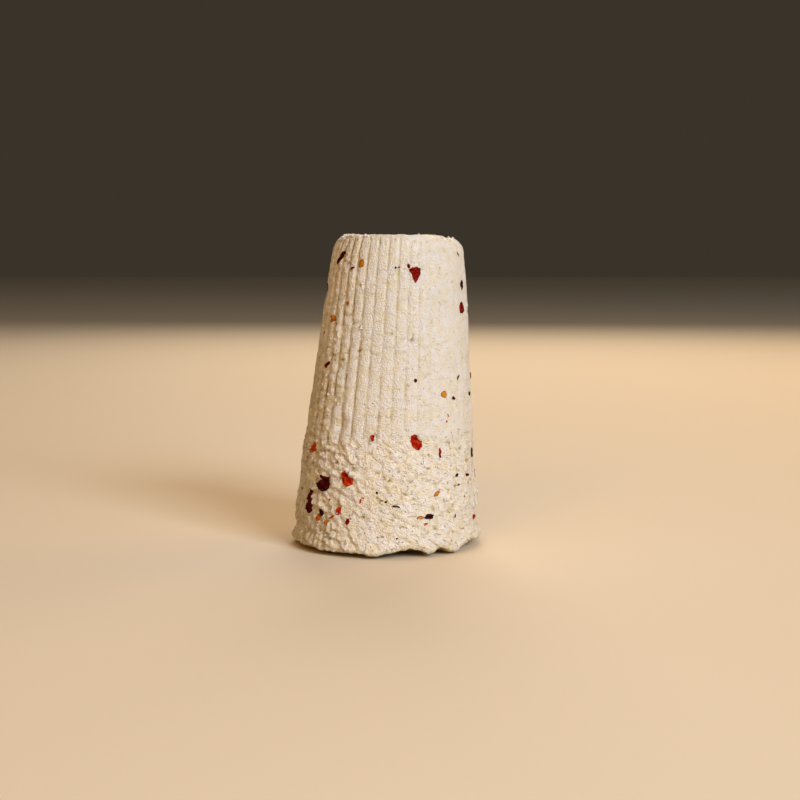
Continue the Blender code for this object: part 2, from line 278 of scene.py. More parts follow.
# Short cracks and pits in front: azimuth, then height, length and width in mm, slant in degrees and depth in mm
FRONT_CRACKS = (
    (1.5, 40.2, 1.6, 0.5, -30, 0.5),
    (2.0, 38.0, 1.4, 0.5, -10, 0.5),
    (-12.0, 39.8, 1.8, 0.5, -40, 0.5),
    (24.0, 38.8, 2.4, 0.4, -25, 0.5),
    (27.5, 33.8, 2.0, 0.5, 5, 0.6),
    (14.5, 29.2, 2.4, 0.5, -20, 0.6),
    (23.5, 29.8, 1.6, 0.5, 10, 0.5),
    (-1.5, 30.2, 1.8, 0.5, -35, 0.6),
    (-6.0, 23.2, 2.4, 0.6, -45, 0.6),
    (-0.5, 21.8, 1.6, 0.6, -20, 0.6),
    (11.5, 24.5, 2.6, 0.5, -20, 0.7),
    (17.0, 22.5, 1.6, 0.5, -10, 0.6),
    (0.5, 25.8, 3.6, 0.7, -60, 0.4),
    (-14.5, 16.0, 3.6, 0.5, 5, 0.6),
    (38.5, 67.2, 6.5, 0.3, -4, 0.3),
    (36.0, 28.2, 5.5, 0.35, 35, 0.35),
    (-3.5, 119.8, 0.7, 0.5, 0, 0.5),
    (25.0, 119.8, 0.7, 0.5, 0, 0.5),
    (52.0, 103.8, 1.2, 0.7, 60, 0.5),
    (-26.5, 78.0, 1.3, 0.7, 80, 0.8),
    (-40.0, 74.4, 2.2, 0.5, 0, 0.7),
    (-33.5, 88.2, 1.0, 0.6, 60, 0.7),
    (14.5, 84.2, 0.9, 0.6, 0, 0.6),
    (9.0, 12.5, 3.2, 0.5, -12, 0.5),
    (30.0, 11.5, 2.6, 0.5, 8, 0.5),
    (-22.0, 33.5, 2.6, 0.5, -35, 0.5),
    (46.0, 14.0, 2.2, 0.5, -5, 0.5),
    (-34.0, 36.0, 2.6, 0.6, 60, 0.6),
)

# The others are drawn, cracks low on the wall and pits above them, in mm, with the slant's mean and spread
CRACKS = 200
CRACK_HEIGHTS = (8, 47)
CRACK_LENGTHS = (0.8, 3.2)
CRACK_SLANTS = (-18, 24)
CRACK_WIDTHS = (0.3, 0.6)
CRACK_DEPTHS = (0.25, 0.7)
PITS = 130
PIT_HEIGHTS = (44, 120)
PIT_LENGTHS = (0.5, 1.1)
PIT_WIDTHS = (0.35, 0.7)
PIT_DEPTH = 0.45
CRACK_BAND = 2
CRACK_REACH = 1


def ease(low, high, value):
    """0 up to low, 1 from high on, and an even curve between."""
    t = min(1.0, max(0.0, (value - low) / (high - low)))
    return t * t * (3 - 2 * t)


def hump(distance, half_width):
    """1 at no distance, falling off in a bell shape over the half-width."""
    return math.exp(-((distance / half_width) ** 2))


def apart(azimuth, other):
    """The signed angle from one azimuth to another, from -180 to 180 degrees."""
    return (azimuth - other + 180) % 360 - 180


def lean(height):
    """How far the cone's middle has drifted towards +X at this height."""
    return LEAN_SLOPE * max(0.0, height - LEAN_FROM)


def cone_radius(height, azimuth=180):
    """The plain cone with its shoulder, which is rounded at the sides and crisper in front."""
    t = min(1.0, max(0.0, (height - HEIGHT + SHOULDER_DROP) / SHOULDER_DROP))
    straight = RIM_RADIUS + (TOP_RADIUS - RIM_RADIUS) * height / HEIGHT
    filled = SHOULDER_FILL * hump(apart(azimuth, FILLED_AZIMUTH), FILLED_WIDTH)
    return straight - SHOULDER_INSET * (1 - math.sqrt(1 - t * t)) * (1 - filled)


def place(azimuth, height, radius):
    """The point at this azimuth, height and distance from the leaning middle."""
    turn = math.radians(azimuth)
    return Vector((lean(height) + radius * math.sin(turn), -radius * math.cos(turn), height))


def rib_strength(azimuth, height):
    """How clearly the ribs show: smeared away to the right of the front, and gone in the rough lower part."""
    smeared = 1 - SMEAR * hump(apart(azimuth, SMEAR_AZIMUTH), SMEAR_WIDTH)
    end = RIBS_END + RIBS_END_WAVE * math.sin(math.radians(RIBS_END_WAVES * azimuth))
    end -= LOW_RIBS_DROP * hump(apart(azimuth, LOW_RIBS_AZIMUTH), LOW_RIBS_WIDTH)
    over_top = 1 - LOST_ON_TOP * ease(HEIGHT - SHOULDER_DROP / 2, HEIGHT, height)
    return smeared * over_top * ease(end - RIBS_END_FADE, end + RIBS_END_FADE, height)


def torn_share(azimuth, spot):
    """How far the basket's print is torn and crumbly here: most on the left of the front, elsewhere in patches."""
    patches = ease(*TORN_PATCH_EDGE, noise.noise(spot / TORN_PATCH_SIZE))
    return max(TORN_PATCHES * patches, hump(apart(azimuth, TORN_AZIMUTH), TORN_WIDTH))


def bar_ends():
    """For each rib, the heights in mm where its bars end."""
    rng = random.Random(5)
    ends = []
    for rib in range(RIBS):
        drawn = [rng.uniform(*band) for band in END_BANDS]
        ends.append(FRONT_ENDS.get(rib if rib < RIBS / 2 else rib - RIBS, drawn))
    return ends


BAR_ENDS = bar_ends()


def rib_section(azimuth, spot, torn):
    """The rib's rise over the wall and how much painted shade, tinted like whey, it takes, for bars with rounded
    ends.
    """
    wander = RIB_WANDER * noise.noise(spot / RIB_WANDER_SIZE) + RIB_SHAKE * noise.noise(spot / RIB_SHAKE_SIZE)
    rib, across = divmod((azimuth - FIRST_GROOVE) / RIB_PITCH + wander, 1)
    rib = int(rib) % RIBS
    from_groove = min(across, 1 - across)
    crown = 1 - (1 - 2 * from_groove) ** 2
    broken = GROOVE_SHARE + GROOVE_CHANGE * noise.noise(spot / GROOVE_CHANGE_SIZE)
    broken = min(MOST_GROOVE, max(LEAST_GROOVE, broken))
    groove = broken * hump(from_groove, GROOVE_WIDTH * (1 + TORN_WIDENS * torn))
    gap = 0
    bar = 0
    for end in BAR_ENDS[rib]:
        above = spot.z - end * MM - END_BOW * (1 - crown)
        gap = max(gap, hump(above, END_ABOVE if above > 0 else END_BELOW))
        bar += above > 0
    nicks = noise.noise(Vector((NOTCH_STRIDE * rib, 0, spot.z / NOTCH_SIZE)))
    notch = torn * ease(*NOTCH_EDGE, nicks) * ease(0, NOTCH_INSET, from_groove)
    rise = (RIB_CROWN + TORN_CROWN * torn) * (crown - 0.5)
    rise += BAR_SHIFT * crown * math.sin(RIB_PHASE * rib + BAR_PHASE * bar)
    rise -= (GROOVE_DEPTH + TORN_DEPTH * torn) * groove
    rise -= END_DEPTH * gap * ease(0, END_INSET, from_groove) + NOTCH_DEPTH * notch
    # Painted shade, tinted like whey, in the grooves, at the bars' ends and in the notches
    shade_and_whey = (SHADE_AND_WHEY_IN_GROOVES + SHADE_AND_WHEY_IN_TORN_GROOVES * torn) * groove
    return rise, min(1, shade_and_whey + SHADE_AND_WHEY_AT_ENDS * gap + SHADE_AND_WHEY_IN_NOTCHES * notch)


def low_print(azimuth, height, spot):
    """The rise of the finer ribs and the ledge at the lower left, and how much painted shade, tinted like whey,
    they take.
    """
    share = hump(apart(azimuth, LEDGE_AZIMUTH), LEDGE_WIDTH)
    wander = FINE_RIB_WANDER * noise.noise(spot / FINE_RIB_WANDER_SIZE)
    across = (azimuth / FINE_RIB_PITCH + wander) % 1
    groove = hump(min(across, 1 - across), FINE_GROOVE_WIDTH) * (1 - ease(*FINE_RIB_FADE, height))
    ledge = 1 - ease(*LEDGE_EDGE, height)
    return share * (LEDGE_RISE * ledge - FINE_RIB_DEPTH * groove), SHADE_AND_WHEY_IN_FINE_RIBS * share * groove


def rough_share(height):
    """How much of the rough ladled curd shows at this height, against the basket's print."""
    return 1 - ease(ROUGH_FULL, ROUGH_FROM, height)


def lumpy_share(azimuth):
    """How near this azimuth is to the left of the front, where the rough curd is lumpiest."""
    return hump(apart(azimuth, LUMPY_AZIMUTH), LUMPY_WIDTH)


def lump_rise(spot):
    """The rise of the lumps of the rough curd."""
    squashed = Vector((spot.x, spot.y, LUMP_SQUASH * spot.z))
    return LUMP_RISE * (LUMP_LEVEL - noise.voronoi(squashed / LUMP_SIZE)[0][0])


# Without a seed, the vector noise that bends the flakes would start from the clock
noise.seed_set(1)


def flake(spot):
    """The tilt of the flattened flake of curd here, and how near the open crease round it is, from 0 to 1."""
    turned = Matrix.Rotation(math.radians(-FLAKE_SLANT), 3, "Y") @ spot
    turned += FLAKE_WANDER * noise.noise_vector(spot / FLAKE_WANDER_SIZE)
    scaled = Vector((turned.x / FLAKE_LENGTH, turned.y / FLAKE_LENGTH, turned.z / FLAKE_HEIGHT))
    distances, centres = noise.voronoi(scaled)
    off = scaled - centres[0]
    open_here = ease(*OPEN_EDGE, noise.noise(spot / OPEN_SIZE))
    return -off.z - FLAKE_LEAN * off.x, open_here * (1 - ease(*CREASE_EDGE, distances[1] - distances[0]))


def grains(spot, size):
    """Small rounded grains of curd pressed together, from about -0.5 in a crease to 0.5 on a grain."""
    return 0.5 - noise.voronoi(spot / size)[0][0]


def grain_relief(spot, bold, coarse, torn):
    """The rise of the curd's flakes, grains and grit, and how much painted shade, tinted like whey, lies between
    them.
    """
    big, small = grains(spot, BIG_GRAIN), grains(spot + SMALL_OFFSET, SMALL_GRAIN)
    tilt, crease = flake(spot)
    rise = (BIG_RISE + BIG_RISE_ROUGH * bold * coarse + BIG_RISE_TORN * torn) * big
    rise += (SMALL_RISE + SMALL_RISE_ROUGH * bold * coarse) * small
    rise += (GRIT_RISE + GRIT_RISE_ROUGH * coarse) * noise.noise(spot / GRIT)
    rise += FLAKE_RISE * bold * coarse * tilt
    between = ease(*BETWEEN_EDGE, -BETWEEN_BIG * big - BETWEEN_SMALL * small)
    shade_and_whey = bold * (SHADE_AND_WHEY_BETWEEN_GRAINS + SHADE_AND_WHEY_BETWEEN_ROUGH * coarse) * between
    return rise, max(shade_and_whey, SHADE_AND_WHEY_IN_CREASES * coarse * crease)


def marks_rise(azimuth, height, radius):
    """How far the swellings and dents raise the wall here."""
    rise = 0
    for mark_azimuth, up, half_width, half_height, amount in MARKS:
        if abs(height - up * MM) < 3 * half_height * MM:
            sideways = math.radians(apart(azimuth, mark_azimuth)) * radius
            rise += amount * MM * hump(sideways, half_width * MM) * hump(height - up * MM, half_height * MM)
    return rise


def cracks_by_height():
    """Every crack and pit, in lists for each band of height: those in front as given, the others drawn."""
    rng = random.Random(21)
    cracks = list(FRONT_CRACKS)
    for _ in range(CRACKS):
        azimuth, height = rng.uniform(-180, 180), rng.uniform(*CRACK_HEIGHTS)
        length, slant = rng.uniform(*CRACK_LENGTHS), rng.gauss(*CRACK_SLANTS)
        cracks.append((azimuth, height, length, rng.uniform(*CRACK_WIDTHS), slant, rng.uniform(*CRACK_DEPTHS)))
    for _ in range(PITS):
        azimuth, height = rng.uniform(-180, 180), rng.uniform(*PIT_HEIGHTS)
        length, width = rng.uniform(*PIT_LENGTHS), rng.uniform(*PIT_WIDTHS)
        cracks.append((azimuth, height, length, width, 90 * rng.random(), PIT_DEPTH))
    found = {}
    for crack in cracks:
        _, up, length, *_ = crack
        for band in range(int((up - length) // CRACK_BAND), int((up + length) // CRACK_BAND) + 1):
            found.setdefault(band, []).append(crack)
    return found


CRACKS_AT = cracks_by_height()


def crack_depth(azimuth, height, radius):
    """How deep the cracks and pits are at this place."""
    deepest = 0
    for crack_azimuth, up, length, width, slant, depth in CRACKS_AT.get(int(height / MM // CRACK_BAND), ()):
        x = math.radians(apart(azimuth, crack_azimuth)) * radius / MM
        if abs(x) < length + CRACK_REACH:
            y, turn = height / MM - up, math.radians(slant)
            along, over = x * math.cos(turn) + y * math.sin(turn), y * math.cos(turn) - x * math.sin(turn)
            deepest = max(deepest, depth * hump(along, length / 2) * hump(over, width))
    return deepest * MM


def relief(azimuth, height):
    """How far the wall stands out from the plain cone, how much painted shade tinted like whey it takes, and how
    grainy it is, from 0 to 1.
    """
    radius = cone_radius(height, azimuth)
    spot = place(azimuth, height, radius)
    ribbed = rib_strength(azimuth, height)
    torn = torn_share(azimuth, spot)
    rough = rough_share(height)
    coarse = max(rough, TORN_COARSE * torn)
    bold = 1 + LUMPY_LEFT * rough * lumpy_share(azimuth)
    rib_rise, rib_shade_and_whey = rib_section(azimuth, spot, torn) if ribbed > LEAST_RIBBED else (0, 0)
    low_rise, low_shade_and_whey = low_print(azimuth, height, spot)
    grain_rise, grain_shade_and_whey = grain_relief(spot, bold, coarse, torn)
    depth = crack_depth(azimuth, height, radius)
    rise = SAG_RISE * noise.noise(spot / SAG_SIZE) + ribbed * rib_rise + bold * rough * lump_rise(spot)
    rise += low_rise + marks_rise(azimuth, height, radius) + grain_rise - depth
    # Painted olive shade low on the left side, which the key light leaves in shade
    left_shade = LEFT_SHADE_SHARE * hump(apart(azimuth, LEFT_SHADE_AZIMUTH), LEFT_SHADE_WIDTH) * ease(*LEFT_SHADE_FADE, height)
    shade_and_whey = left_shade + max(ribbed * rib_shade_and_whey, low_shade_and_whey, grain_shade_and_whey, SHADE_AND_WHEY_IN_CRACKS * depth)
    return rise, min(1, shade_and_whey), max(coarse, LEAST_GRAINY + LOW_GRAINY * ease(*GRAINY_FADE, height))


def worn(spot):
    """How much lower the worn corner of the top has become at this point."""
    turn = math.radians(WORN_AZIMUTH)
    along = spot.x * math.sin(turn) - spot.y * math.cos(turn)
    return WORN_DROP * ease(WORN_FROM, WORN_TO, along - lean(HEIGHT))


def rim_lift(azimuth):
    """The height of the rim's ragged edge."""
    spot = place(azimuth, 0, RIM_RADIUS)
    lift = RIM_LIFT + RIM_WAVE * noise.noise(spot / RIM_WAVE_SIZE)
    for lift_azimuth, half_width, rise in RIM_LIFTS:
        sideways = math.radians(apart(azimuth, lift_azimuth)) * RIM_RADIUS
        lift += rise * MM * hump(sideways, half_width * MM)
    lift += NIBBLE * noise.noise(spot / NIBBLE_SIZE) + SMALL_NIBBLE * noise.noise(spot / SMALL_NIBBLE_SIZE)
    scallops = abs(math.sin(math.radians(180 * azimuth / FINE_RIB_PITCH)))
    scallops *= hump(apart(azimuth, LEDGE_AZIMUTH), LEDGE_WIDTH)
    return max(RIM_LEAST, lift - SCALLOP * (scallops - 0.5))


def foot_point(azimuth, share):
    """A point of the underside, from the foot it stands on (share 0) to the rim's edge (share 1)."""
    radius = FOOT_RADIUS + share * (EDGE_RADIUS - FOOT_RADIUS)
    # The whole underside takes painted shade
    return place(azimuth, rim_lift(azimuth) * (1 - (1 - share) ** UNDER_CURVE), radius), PAINTED_SHADE_ON_FOOT, 1


def wall_point(azimuth, height):
    """A point of the wall and shoulder. The lowest part is squeezed up to follow the rim's edge."""
    above = height
    if height < RIM_EASE:
        lift = rim_lift(azimuth)
        height = lift + height * (1 - lift / RIM_EASE)
        above = height - lift
    under = max(0.0, 1 - above / BEAD_HEIGHT)
    bead = BEAD_INSET * (1 - math.sqrt(1 - under * under))
    rise, shade_and_whey, grainy = relief(azimuth, height)
    spot = place(azimuth, height, cone_radius(height, azimuth) + rise - bead)
    spot.z -= worn(spot) * ease(HEIGHT - WORN_REACH, HEIGHT, height)
    nibbled = EDGE_NIBBLE * noise.noise(spot / EDGE_NIBBLE_SIZE) - EDGE_DROP
    spot.z += nibbled * ease(EDGE_FROM, HEIGHT, height)
    # The bead that curls in under the rim takes painted shade
    return spot, max(shade_and_whey, PAINTED_SHADE_UNDER_RIM * under), grainy


def top_point(azimuth, share):
    """A point of the top, from its middle (share 0) to the shoulder (share 1)."""
    spot = place(azimuth, HEIGHT, share * cone_radius(HEIGHT, azimuth))
    lumps = grains(spot, TOP_LUMP_SIZE)
    rise = TOP_BUMP * noise.noise(spot / TOP_BUMP_SIZE) + TOP_RIPPLE * noise.noise(spot / TOP_RIPPLE_SIZE)
    rise += TOP_LUMP * lumps - TOP_DROP - worn(spot)
    # Painted shade, tinted like whey, between the top's lumps
    return spot + Vector((0, 0, rise)), SHADE_AND_WHEY_ON_TOP * ease(0, 0.3, -lumps), TOP_GRAINY


# The section is spun round in this many columns, and its rows lie closest together on the shoulder
COLUMNS = 400
UNDER_ROWS = 7
WALL_ROW = 0.59 * MM
SHOULDER_ROWS = 14
TOP_ROWS = 26
TOP_SPREAD = 0.8


def section_rows():
    """The rows of the section from the foot up to the top's middle, as what they lie on and where."""
    rows = [(foot_point, i / UNDER_ROWS) for i in range(UNDER_ROWS + 1)]
    shoulder = HEIGHT - SHOULDER_DROP
    count = round(shoulder / WALL_ROW)
    rows += [(wall_point, shoulder * i / count) for i in range(1, count + 1)]
    turns = [math.pi / 2 * i / SHOULDER_ROWS for i in range(1, SHOULDER_ROWS + 1)]
    rows += [(wall_point, HEIGHT - SHOULDER_DROP * (1 - math.sin(turn))) for turn in turns]
    return rows + [(top_point, (1 - i / TOP_ROWS) ** TOP_SPREAD) for i in range(1, TOP_ROWS + 1)]


def linear(hex_colour):
    """An sRGB hex colour as linear red, green, blue and alpha."""
    parts = [int(hex_colour[i : i + 2], 16) / 255 for i in (1, 3, 5)]
    return (*(part / 12.92 if part <= 0.04045 else ((part + 0.055) / 1.055) ** 2.4 for part in parts), 1)


def add_node(tree, kind, inputs=(), out=0, **settings):
    """Add a shader node with its settings, and what goes into its sockets: a value or another's output."""
    made = tree.nodes.new(kind)
    for name, value in settings.items():
        setattr(made, name, value)
    for socket, value in dict(inputs).items():
        if isinstance(value, bpy.types.NodeSocket):
            tree.links.new(value, made.inputs[socket])
        else:
            made.inputs[socket].default_value = value
    return made.outputs[out]


def new_material(name):
    """An empty material, with its node tree and its shader."""
    material = bpy.data.materials.new(name)
    material.use_nodes = True
    tree = material.node_tree
    return material, tree, tree.nodes["Principled BSDF"]


def mesh_of(name, bm):
    """The built shape as a mesh."""
    mesh = bpy.data.meshes.new(name)
    bm.to_mesh(mesh)
    bm.free()
    return mesh


def add_object(name, data):
    """An object in the scene that holds this mesh, light or camera."""
    made = bpy.data.objects.new(name, data)
    bpy.context.scene.collection.objects.link(made)
    return made


def make_piece(name, bm, material, sharp_from=180):
    """Turn a built shape into a piece that rides on the cheese, with sharp edges from this angle in degrees."""
    bm.transform(Matrix.Translation(FOOT_MIDDLE))
    mesh = mesh_of(name, bm)
    mesh.materials.append(material)
    mesh.shade_smooth()
    mesh.set_sharp_from_angle(angle=math.radians(sharp_from))
    piece = add_object(name, mesh)
    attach(piece, "root")
    return piece


# Fresh ricotta: moist white curd that has dried a little outside, so it is off-white with pinkish and creamy
# patches, softly shining and slightly translucent, with painted olive shade, tinted like whey, in the hollows, and
# where it is rough it is grainy, with short slanting cracks between flattened flakes. Pinholes dot all of it, and
# the cracks and pinholes take a darker painted shade
curd, tree, shader = new_material("fresh_ricotta_curd")
place_on = add_node(tree, "ShaderNodeTexCoord", out="Object")
shade_and_whey = add_node(tree, "ShaderNodeAttribute", out="Fac", attribute_name="shade_and_whey")
grainy = add_node(tree, "ShaderNodeAttribute", out="Fac", attribute_name="grainy")

# Flakes 3.2 mm long and 1.7 mm high that slant like the ladled curd, each a little higher or lower, with
# cracks between some of them
wobble = add_node(
    tree, "ShaderNodeTexNoise", {"Vector": place_on, "Scale": 1 / (1.1 * MM), "Detail": 1}, out="Color"
)
slanted = add_node(
    tree, "ShaderNodeMapping",
    {"Vector": place_on, "Rotation": (0, math.radians(FLAKE_SLANT), 0), "Scale": (3.2 * MM, 3.2 * MM, 1.7 * MM)},
    vector_type="TEXTURE",
)
bent = add_node(
    tree, "ShaderNodeVectorMath", {0: wobble, 1: (0.55, 0.55, 0.55), 2: slanted}, operation="MULTIPLY_ADD"
)
to_edge = add_node(tree, "ShaderNodeTexVoronoi", {"Vector": bent, "Scale": 1}, feature="DISTANCE_TO_EDGE")
between = add_node(tree, "ShaderNodeMapRange", {"Value": to_edge, "From Max": 0.08, "To Min": 0.85, "To Max": 0})
gaping = add_node(tree, "ShaderNodeTexNoise", {"Vector": place_on, "Scale": 1 / (1.9 * MM), "Detail": 1})
gapes = add_node(tree, "ShaderNodeMapRange", {"Value": gaping, "From Min": 0.58, "From Max": 0.67})
cracked = add_node(tree, "ShaderNodeMath", {0: between, 1: gapes}, operation="MULTIPLY")
cracks = add_node(tree, "ShaderNodeMath", {0: cracked, 1: grainy}, operation="MULTIPLY")
flakes = add_node(tree, "ShaderNodeTexVoronoi", {"Vector": bent, "Scale": 1}, out="Color")
level = add_node(tree, "ShaderNodeSeparateColor", {"Color": flakes}, out="Red")

# Pinholes up to 0.6 mm wide, in more than half of the cells of 1.5 mm
cells = {"Vector": place_on, "Scale": 1 / (1.5 * MM)}
cell = add_node(tree, "ShaderNodeTexVoronoi", cells, out="Color")
chosen = add_node(tree, "ShaderNodeSeparateColor", {"Color": cell}, out="Red")
widest = add_node(tree, "ShaderNodeMath", {0: grainy, 1: 0.08, 2: 0.12}, operation="MULTIPLY_ADD")
hole_size = add_node(tree, "ShaderNodeMapRange", {"Value": chosen, "From Min": 0.4, "To Max": widest})
from_hole = add_node(tree, "ShaderNodeTexVoronoi", cells, out="Distance")
inside = add_node(tree, "ShaderNodeMath", {0: hole_size, 1: from_hole}, operation="SUBTRACT")
pinholes = add_node(tree, "ShaderNodeMapRange", {"Value": inside, "From Max": 0.04})

# Flattened grains of 1.4 mm, a bit under half a flake, with sharp creases between them, and a grain of 0.5 mm,
# drawn no finer than the render can show. Some of the creases take painted shade, tinted like whey
grain = add_node(tree, "ShaderNodeTexNoise", {"Vector": place_on, "Scale": 1 / (0.5 * MM), "Detail": 3})
from_grain = add_node(tree, "ShaderNodeTexVoronoi", {"Vector": bent, "Scale": 2.3}, out="Distance")
creases = add_node(tree, "ShaderNodeMapRange", {"Value": from_grain, "From Min": 0.42, "From Max": 0.72})
shaded_crease_noise = add_node(tree, "ShaderNodeTexNoise", {"Vector": place_on, "Scale": 1 / (2.2 * MM), "Detail": 2})
shaded_crease_parts = add_node(tree, "ShaderNodeMapRange", {"Value": shaded_crease_noise, "From Min": 0.42, "From Max": 0.62})
shaded_creases = add_node(tree, "ShaderNodeMath", {0: creases, 1: shaded_crease_parts}, operation="MULTIPLY")
crease_shade_share = add_node(tree, "ShaderNodeMath", {0: grainy, 1: 0.04, 2: 0.24}, operation="MULTIPLY_ADD")
crease_shade_spots = add_node(tree, "ShaderNodeMath", {0: shaded_creases, 1: crease_shade_share}, operation="MULTIPLY")

# Patches of about 3 mm from pinkish white to cream, warmer where the curd is rough
patchy = add_node(tree, "ShaderNodeTexNoise", {"Vector": place_on, "Scale": 1 / (3 * MM), "Detail": 3})
patches = add_node(tree, "ShaderNodeMapRange", {"Value": patchy, "From Min": 0.4, "From Max": 0.6})
smooth_white = add_node(
    tree, "ShaderNodeMix", {"Factor": patches, "A": linear("#EAE8E9"), "B": linear("#E7E3D7")}, out=2,
    data_type="RGBA",
)
rough_white = add_node(
    tree, "ShaderNodeMix", {"Factor": patches, "A": linear("#FBF4F0"), "B": linear("#FBEED9")}, out=2,
    data_type="RGBA",
)
white = add_node(
    tree, "ShaderNodeMix", {"Factor": grainy, "A": smooth_white, "B": rough_white}, out=2, data_type="RGBA"
)

# Painted shade, tinted olive like whey, in the hollows of the shape and in some creases, and a darker painted
# shade in deep hollows and in the open cracks and pinholes
all_painted_shade = add_node(tree, "ShaderNodeMath", {0: shade_and_whey, 1: crease_shade_spots}, operation="MAXIMUM")
white_with_painted_shade = add_node(
    tree, "ShaderNodeMix", {"Factor": all_painted_shade, "A": white, "B": linear("#C4B46C")}, out=2, data_type="RGBA"
)
# Deep hollows, cracks and pinholes take a dark brown painted shade
deep = add_node(tree, "ShaderNodeMapRange", {"Value": shade_and_whey, "From Min": 0.55, "From Max": 1.0})
opened = add_node(tree, "ShaderNodeMath", {0: cracks, 1: pinholes}, operation="MAXIMUM")
darkest_painted_shade = add_node(tree, "ShaderNodeMath", {0: opened, 1: deep}, operation="MAXIMUM")
curd_with_painted_shade = add_node(
    tree, "ShaderNodeMix", {"Factor": darkest_painted_shade, "A": white_with_painted_shade, "B": linear("#94681C")}, out=2, data_type="RGBA"
)
tree.links.new(curd_with_painted_shade, shader.inputs["Base Color"])

# Relief too fine for the mesh, from the same grains, flakes, cracks and pinholes, and the moist shine, which is
# stronger where the curd is rough
grain_share = add_node(tree, "ShaderNodeMath", {0: grainy, 1: -0.2, 2: 2.2}, operation="MULTIPLY_ADD")
grain_rise = add_node(tree, "ShaderNodeMath", {0: grain, 1: grain_share}, operation="MULTIPLY")
lump_share = add_node(tree, "ShaderNodeMath", {0: grainy, 1: -0.85}, operation="MULTIPLY")
lumps_rise = add_node(
    tree, "ShaderNodeMath", {0: from_grain, 1: lump_share, 2: grain_rise}, operation="MULTIPLY_ADD"
)
flake_share = add_node(tree, "ShaderNodeMath", {0: grainy, 1: 0.25}, operation="MULTIPLY")
flake_rise = add_node(
    tree, "ShaderNodeMath", {0: level, 1: flake_share, 2: lumps_rise}, operation="MULTIPLY_ADD"
)
rise = add_node(tree, "ShaderNodeMath", {0: opened, 1: -0.7, 2: flake_rise}, operation="MULTIPLY_ADD")
bump = add_node(tree, "ShaderNodeBump", {"Height": rise, "Strength": 1.0, "Distance": 0.5 * MM})
tree.links.new(bump, shader.inputs["Normal"])
moist = add_node(tree, "ShaderNodeMath", {0: grainy, 1: grainy}, operation="MULTIPLY")
gloss = add_node(tree, "ShaderNodeMath", {0: moist, 1: -0.29, 2: 0.5}, operation="MULTIPLY_ADD")
tree.links.new(gloss, shader.inputs["Roughness"])
shader.inputs["Coat Weight"].default_value = 0.2
shader.inputs["Coat Roughness"].default_value = 0.22
shader.inputs["Subsurface Weight"].default_value = 0.08
shader.inputs["Subsurface Radius"].default_value = (1.0, 0.85, 0.7)
shader.inputs["Subsurface Scale"].default_value = 0.3 * MM

# The section is spun into a closed shape, and then each point goes to its place on the curd
rows = section_rows()
bm = bmesh.new()
row_of = bm.verts.layers.int.new("row")
shade_and_whey_of = bm.verts.layers.float.new("shade_and_whey")
grainy_of = bm.verts.layers.float.new("grainy")
section = []
for index, (point_at, where) in enumerate(rows):
    point = point_at(0, where)[0]
    section.append(bm.verts.new((0, point.y, point.z)))
    section[-1][row_of] = index
section_edges = [bm.edges.new(pair) for pair in zip(section, section[1:])]
bmesh.ops.spin(
    bm, geom=section + section_edges, axis=(0, 0, 1), cent=(0, 0, 0), angle=math.tau, steps=COLUMNS,
    use_merge=True,
)
bmesh.ops.remove_doubles(bm, verts=bm.verts, dist=0.001 * MM)
bmesh.ops.contextual_create(bm, geom=[edge for edge in bm.edges if edge.is_boundary])
for vert in bm.verts:
    azimuth = FIRST_GROOVE + math.degrees(math.atan2(vert.co.x, -vert.co.y))
    point_at, where = rows[vert[row_of]]
    vert.co, vert[shade_and_whey_of], vert[grainy_of] = point_at(azimuth, where)
bmesh.ops.recalc_face_normals(bm, faces=bm.faces)
body = make_piece("curd_body", bm, curd)
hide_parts("ricotta")

# The chilli skin
#
# Torn chips of dried red chilli, stirred into the curd and pressed into its wall. Each is a thin, wrinkled,
# leathery scrap, deep red to nearly black, which follows the curd's surface and stands a little proud of it.

CHIP_CORNERS = 7
CORNER_REACH = (0.78, 1.12)
CHIP_PROUD = 0.38 * MM
SCRAP_PROUD = 0.22 * MM
EDGE_PROUD = 0.5
LUMPY_PROUD = 0.9
LUMPY_LEAST = 0.6
CHIP_BURIED = 1.0 * MM
CHIP_GRID = 0.55 * MM
MOST_CUTS = 10
RAGGED = 0.22 * MM
RAGGED_SIZE = 0.9 * MM
CRINKLE = 0.3
CRINKLE_SIZE = 1.2 * MM
WALL_SLOPE = 0.1

# Chips for the sides and back: how many, how far apart, and their sizes, azimuths, heights in mm, widths as
# a share of the size, greatest turn and tones
SCATTERED = 25
SCATTER_GAP = 9 * MM
SCATTER_SIZES = (1.8 * MM, 5.4 * MM)
SCATTER_AZIMUTHS = (95, 265)
SCATTER_HEIGHTS = (9, 113)
SCATTER_WIDTHS = (0.6, 0.9)
SCATTER_TURN = 40
SCATTER_TONES = (0.1, 0.35, 0.5, 0.65, 0.8, 0.95)

